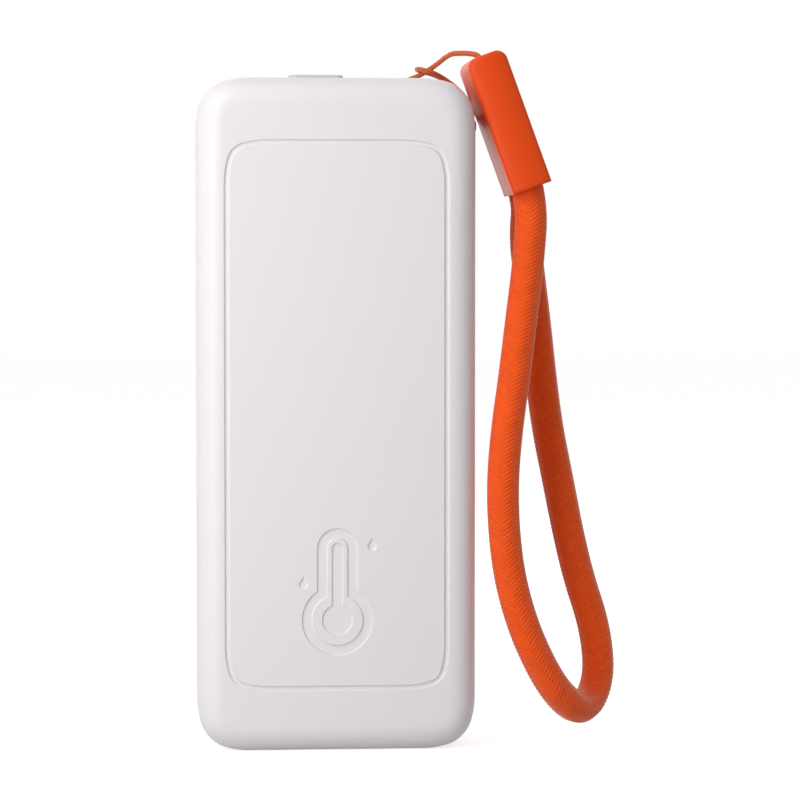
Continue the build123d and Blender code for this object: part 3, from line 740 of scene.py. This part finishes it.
def cross_directions(line):
    """Two directions across the line at each of its points, carried along it without a twist."""
    along = np.gradient(line, axis=0)
    along /= np.linalg.norm(along, axis=1)[:, None]
    sides = np.empty_like(along)
    side = np.array(BACKWARDS)
    for index, direction in enumerate(along):
        side = side - direction * (side @ direction)
        side /= np.linalg.norm(side)
        sides[index] = side
    return sides, np.cross(along, sides)


def at_distance(distances, travelled, values):
    """Values of a line's points, read at distances along it."""
    return np.stack([np.interp(distances, travelled, values[:, axis]) for axis in range(3)], axis=-1)


def float_crown(rows):
    """Height along a column of floats, from 0 in the gaps to 1 at the middle of a float."""
    return np.sin(np.pi * (rows % 1.0)) ** FLOAT_ROUNDNESS


def float_height(rows, columns):
    """Height of the yarn floats, from 0 to 1. Odd columns are half a float on from even ones."""
    shift = 0.5 * (np.floor(columns) % 2)
    across = columns % 1.0
    crown = float_crown(rows + shift)
    crown_beside = float_crown(rows + (0.5 - shift))
    inside = crown * (FLOAT_SIDE_HEIGHT + (1.0 - FLOAT_SIDE_HEIGHT) * np.sin(np.pi * across))
    seam = COLUMN_SEAM_HEIGHT * (crown + crown_beside) / 2
    return np.where(across == 0.0, seam, inside)


def braided_tube(name, line, diameter, columns, float_length, slant, relief):
    """A closed tube along a line, whose surface is columns of slanting yarn floats."""
    travelled = np.concatenate([[0.0], np.cumsum(np.linalg.norm(np.diff(line, axis=0), axis=1))])
    floats = round(travelled[-1] / float_length)
    spacing = travelled[-1] / floats
    rows = np.arange(floats * STEPS_ALONG_FLOAT + 1) / STEPS_ALONG_FLOAT
    column_edges = np.arange(columns * STEPS_ACROSS_FLOAT + 1) / STEPS_ACROSS_FLOAT
    row_grid, column_grid = np.meshgrid(rows, column_edges[:-1], indexing="ij")

    # Floats lean one way in even columns and the other way in odd ones, but not at the cord's ends
    lean = np.abs((column_grid + 1.0) % 2.0 - 1.0) - 0.5
    plain_ends = np.clip(np.minimum(row_grid, floats - row_grid) / PLAIN_END_FLOATS, 0.0, 1.0)
    distances = row_grid * spacing + slant * lean * plain_ends
    radius = diameter / 2 - relief * (1.0 - float_height(row_grid, column_grid))
    turn = (column_grid + FIRST_COLUMN) * 2.0 * np.pi / columns
    sides, ups = cross_directions(line)
    outward = (
        at_distance(distances, travelled, sides) * np.cos(turn)[..., None]
        + at_distance(distances, travelled, ups) * np.sin(turn)[..., None]
    )
    places = at_distance(distances, travelled, line) + outward * radius[..., None]

    # Faces round the tube, and a cap at each end
    ring_count, around = row_grid.shape
    first = np.arange(ring_count * around).reshape(ring_count, around)
    beside = np.roll(first, -1, axis=1)
    quads = np.stack([first[:-1], beside[:-1], beside[1:], first[1:]], axis=-1).reshape(-1, 4)
    caps = [first[0, ::-1].tolist(), first[-1].tolist()]
    mesh = bpy.data.meshes.new(name)
    mesh.from_pydata(places.reshape(-1, 3).tolist(), [], quads.tolist() + caps)
    mesh.shade_smooth()

    # Each face's place in the braid, in columns and rows
    corners = np.zeros((ring_count - 1, around, 4, 2))
    corners[..., (0, 3), 0] = column_edges[None, :-1, None]
    corners[..., (1, 2), 0] = column_edges[None, 1:, None]
    corners[..., (0, 1), 1] = rows[:-1, None, None]
    corners[..., (2, 3), 1] = rows[1:, None, None]
    flat = np.concatenate([corners.reshape(-1), np.zeros(2 * 2 * around)])
    mesh.uv_layers.new(name=BRAID_MAP).data.foreach_set("uv", flat)
    tube = bpy.data.objects.new(name, mesh)
    bpy.context.scene.collection.objects.link(tube)
    return tube


def dress_cord(tube, node, finish):
    """Gives a cord its finish and its place on the sensor."""
    tube.data.materials.append(bpy.data.materials[finish])
    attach(tube, BODY)
    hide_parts(node)


# Stage


def seen_rays(tree):
    """1 for rays from the camera, straight, mirrored or through glass, and 0 for light that spreads."""
    rays = add_node(tree, "ShaderNodeLightPath").outputs
    mirrored = math_node(tree, "MAXIMUM", rays["Is Glossy Ray"], rays["Is Transmission Ray"])
    return math_node(tree, "MAXIMUM", rays["Is Camera Ray"], mirrored)


def floor_finish(looks):
    """A pale floor that looks white to the camera away from the sensor's shadow."""
    material = bpy.data.materials.new("studio_floor")
    tree = empty_tree(material)
    paint = add_node(tree, "ShaderNodeBsdfDiffuse", {"Color": (*looks.floor, 1.0)}).outputs[0]
    glow = add_node(tree, "ShaderNodeEmission", {"Strength": looks.floor_glow}).outputs[0]
    lit = add_node(tree, "ShaderNodeAddShader", {0: paint, 1: glow}).outputs[0]
    surface = add_node(tree, "ShaderNodeMixShader", {0: seen_rays(tree), 1: paint, 2: lit}).outputs[0]
    add_node(tree, "ShaderNodeOutputMaterial", {"Surface": surface})
    return material


def make_floor(looks):
    """A wide flat floor."""
    half = FLOOR_SIDE / 2
    corners = [(-half, -half, 0), (half, -half, 0), (half, half, 0), (-half, half, 0)]
    mesh = bpy.data.meshes.new("studio_floor")
    mesh.from_pydata(corners, [], [(0, 1, 2, 3)])
    mesh.materials.append(floor_finish(looks))
    floor = bpy.data.objects.new("studio_floor", mesh)
    bpy.context.scene.collection.objects.link(floor)


def make_world(looks):
    """Even white light from all round, and plain white to the camera."""
    world = bpy.data.worlds.new("studio")
    tree = empty_tree(world)
    light = add_node(tree, "ShaderNodeBackground", {"Color": WHITE, "Strength": looks.ambient}).outputs[0]
    white = add_node(tree, "ShaderNodeBackground", {"Color": WHITE, "Strength": 1.0}).outputs[0]
    surface = add_node(tree, "ShaderNodeMixShader", {0: seen_rays(tree), 1: light, 2: white}).outputs[0]
    add_node(tree, "ShaderNodeOutputWorld", {"Surface": surface})
    bpy.context.scene.world = world


def left_of_front(turn, rise):
    """The direction from the sensor to something left of its front and above it."""
    return Vector((-math.sin(turn) * math.cos(rise), -math.cos(turn) * math.cos(rise), math.sin(rise)))


def aim(item, place, direction):
    """Puts a lamp or camera at a place, looking back along a direction."""
    item.location = place
    item.rotation_mode = "QUATERNION"
    item.rotation_quaternion = (-direction).to_track_quat("-Z", "Y")
    bpy.context.scene.collection.objects.link(item)


def add_panel_lamp(name, power, width, height, place, direction):
    """A soft rectangular lamp that shines back along a direction."""
    lamp = bpy.data.lights.new(name, "AREA")
    lamp.energy = power
    lamp.shape = "RECTANGLE"
    lamp.size = width
    lamp.size_y = height
    aim(bpy.data.objects.new(name, lamp), place, direction)


def make_lamps(looks):
    """A tall soft box left of the front, a weak panel overhead, and one behind as a white backdrop."""
    direction = left_of_front(looks.key_turn, looks.key_rise)
    middle = (HOUSING_LOW + HOUSING_HIGH) / 2
    place = middle + direction * looks.key_distance
    add_panel_lamp("soft_box", looks.key_power, looks.key_width, looks.key_height, place, direction)
    above = Vector((middle.x, middle.y, HOUSING_HIGH.z + looks.top_height))
    add_panel_lamp("top_panel", looks.top_power, looks.top_side, looks.top_side, above, UPWARDS)
    behind = Vector((middle.x, looks.back_distance, looks.back_side / 2))
    add_panel_lamp("back_panel", looks.back_power, looks.back_side, looks.back_side, behind, BACKWARDS)


def make_camera(looks):
    """A camera a little left of the front and above it."""
    lens = bpy.data.cameras.new("front_view")
    lens.lens = looks.lens
    lens.sensor_width = SENSOR_WIDTH
    lens.clip_start = CLIP_START
    direction = left_of_front(looks.camera_turn, looks.camera_rise)
    camera = bpy.data.objects.new("front_view", lens)
    aim(camera, Vector(looks.camera_target) + direction * looks.camera_distance, direction)
    bpy.context.scene.camera = camera


# Operators


class SENSOR_OT_finish_housing(Operator):
    """Finish both covers, the button, the seal, the screws and the vent"""

    bl_idname = "sensor.finish_housing"
    bl_label = "Finish Housing"

    def execute(self, context):
        looks = context.scene.sensor_housing
        shell_finish(looks)
        button_finish(looks)
        seal_finish()
        screw_finish()
        membrane_finish()
        return {"FINISHED"}


class SENSOR_OT_finish_inside(Operator):
    """Finish the board, its parts, the cells, their tray and contacts"""

    bl_idname = "sensor.finish_inside"
    bl_label = "Finish Inside"

    def execute(self, context):
        board_finish()
        chip_finish()
        ceramic_finish()
        plated_finish()
        plunger_finish()
        tray_finish()
        jacket_finish()
        return {"FINISHED"}


class SENSOR_OT_finish_ferrule(Operator):
    """Finish the moulded ferrule that grips the cords"""

    bl_idname = "sensor.finish_ferrule"
    bl_label = "Finish Ferrule"

    def execute(self, context):
        ferrule_finish(context.scene.sensor_strap)
        return {"FINISHED"}


class SENSOR_OT_braid_strap(Operator):
    """Braid the wrist strap"""

    bl_idname = "sensor.braid_strap"
    bl_label = "Braid Strap"

    def execute(self, context):
        looks = context.scene.sensor_strap
        braid_finish("strap_braid", looks.yarn)
        line = spline_line(strap_points())
        strap = braided_tube(
            "strap_braid",
            line,
            looks.diameter,
            looks.columns,
            looks.float_length,
            looks.float_slant,
            looks.relief,
        )
        dress_cord(strap, "strap_cord", "strap_braid")
        return {"FINISHED"}


class SENSOR_OT_braid_thin_loop(Operator):
    """Braid the thin loop that ties the strap to the housing"""

    bl_idname = "sensor.braid_thin_loop"
    bl_label = "Braid Thin Loop"

    def execute(self, context):
        looks = context.scene.sensor_strap
        braid_finish("thin_yarn", looks.thin_yarn)
        line = spline_line(thin_points())
        loop = braided_tube(
            "thin_braid",
            line,
            looks.thin_diameter,
            looks.thin_columns,
            looks.thin_float_length,
            looks.thin_float_slant,
            looks.thin_relief,
        )
        dress_cord(loop, "thin_loop", "thin_yarn")
        return {"FINISHED"}


class SENSOR_OT_set_stage(Operator):
    """Lay the floor and set the light and the camera"""

    bl_idname = "sensor.set_stage"
    bl_label = "Set Stage"

    def execute(self, context):
        looks = context.scene.sensor_stage
        make_floor(looks)
        make_world(looks)
        make_lamps(looks)
        make_camera(looks)
        context.scene.view_settings.view_transform = "Standard"
        return {"FINISHED"}


OPERATORS = (
    SENSOR_OT_finish_housing,
    SENSOR_OT_finish_inside,
    SENSOR_OT_finish_ferrule,
    SENSOR_OT_braid_strap,
    SENSOR_OT_braid_thin_loop,
    SENSOR_OT_set_stage,
)


class SENSOR_PT_dressing(Panel):
    """Steps and settings of the dressing"""

    bl_idname = "SENSOR_PT_dressing"
    bl_label = "Sensor Dressing"
    bl_space_type = "VIEW_3D"
    bl_region_type = "UI"
    bl_category = "Sensor"

    def draw(self, context):
        for operator in OPERATORS:
            self.layout.operator(operator.bl_idname)
        for name in SETTINGS:
            box = self.layout.box()
            looks = getattr(context.scene, name)
            for setting in looks.__annotations__:
                box.prop(looks, setting)


SETTINGS = {"sensor_housing": HousingLooks, "sensor_strap": StrapLooks, "sensor_stage": StageLooks}
CLASSES = (*SETTINGS.values(), *OPERATORS, SENSOR_PT_dressing)


def register():
    for item in CLASSES:
        bpy.utils.register_class(item)
    for name, group in SETTINGS.items():
        setattr(bpy.types.Scene, name, PointerProperty(type=group))


def unregister():
    for name in SETTINGS:
        delattr(bpy.types.Scene, name)
    for item in reversed(CLASSES):
        bpy.utils.unregister_class(item)


def main():
    """Dresses the sensor."""
    register()
    bpy.ops.sensor.finish_housing()
    bpy.ops.sensor.finish_inside()
    bpy.ops.sensor.finish_ferrule()
    bpy.ops.sensor.braid_strap()
    bpy.ops.sensor.braid_thin_loop()
    bpy.ops.sensor.set_stage()


if __name__ == "__main__":
    main()
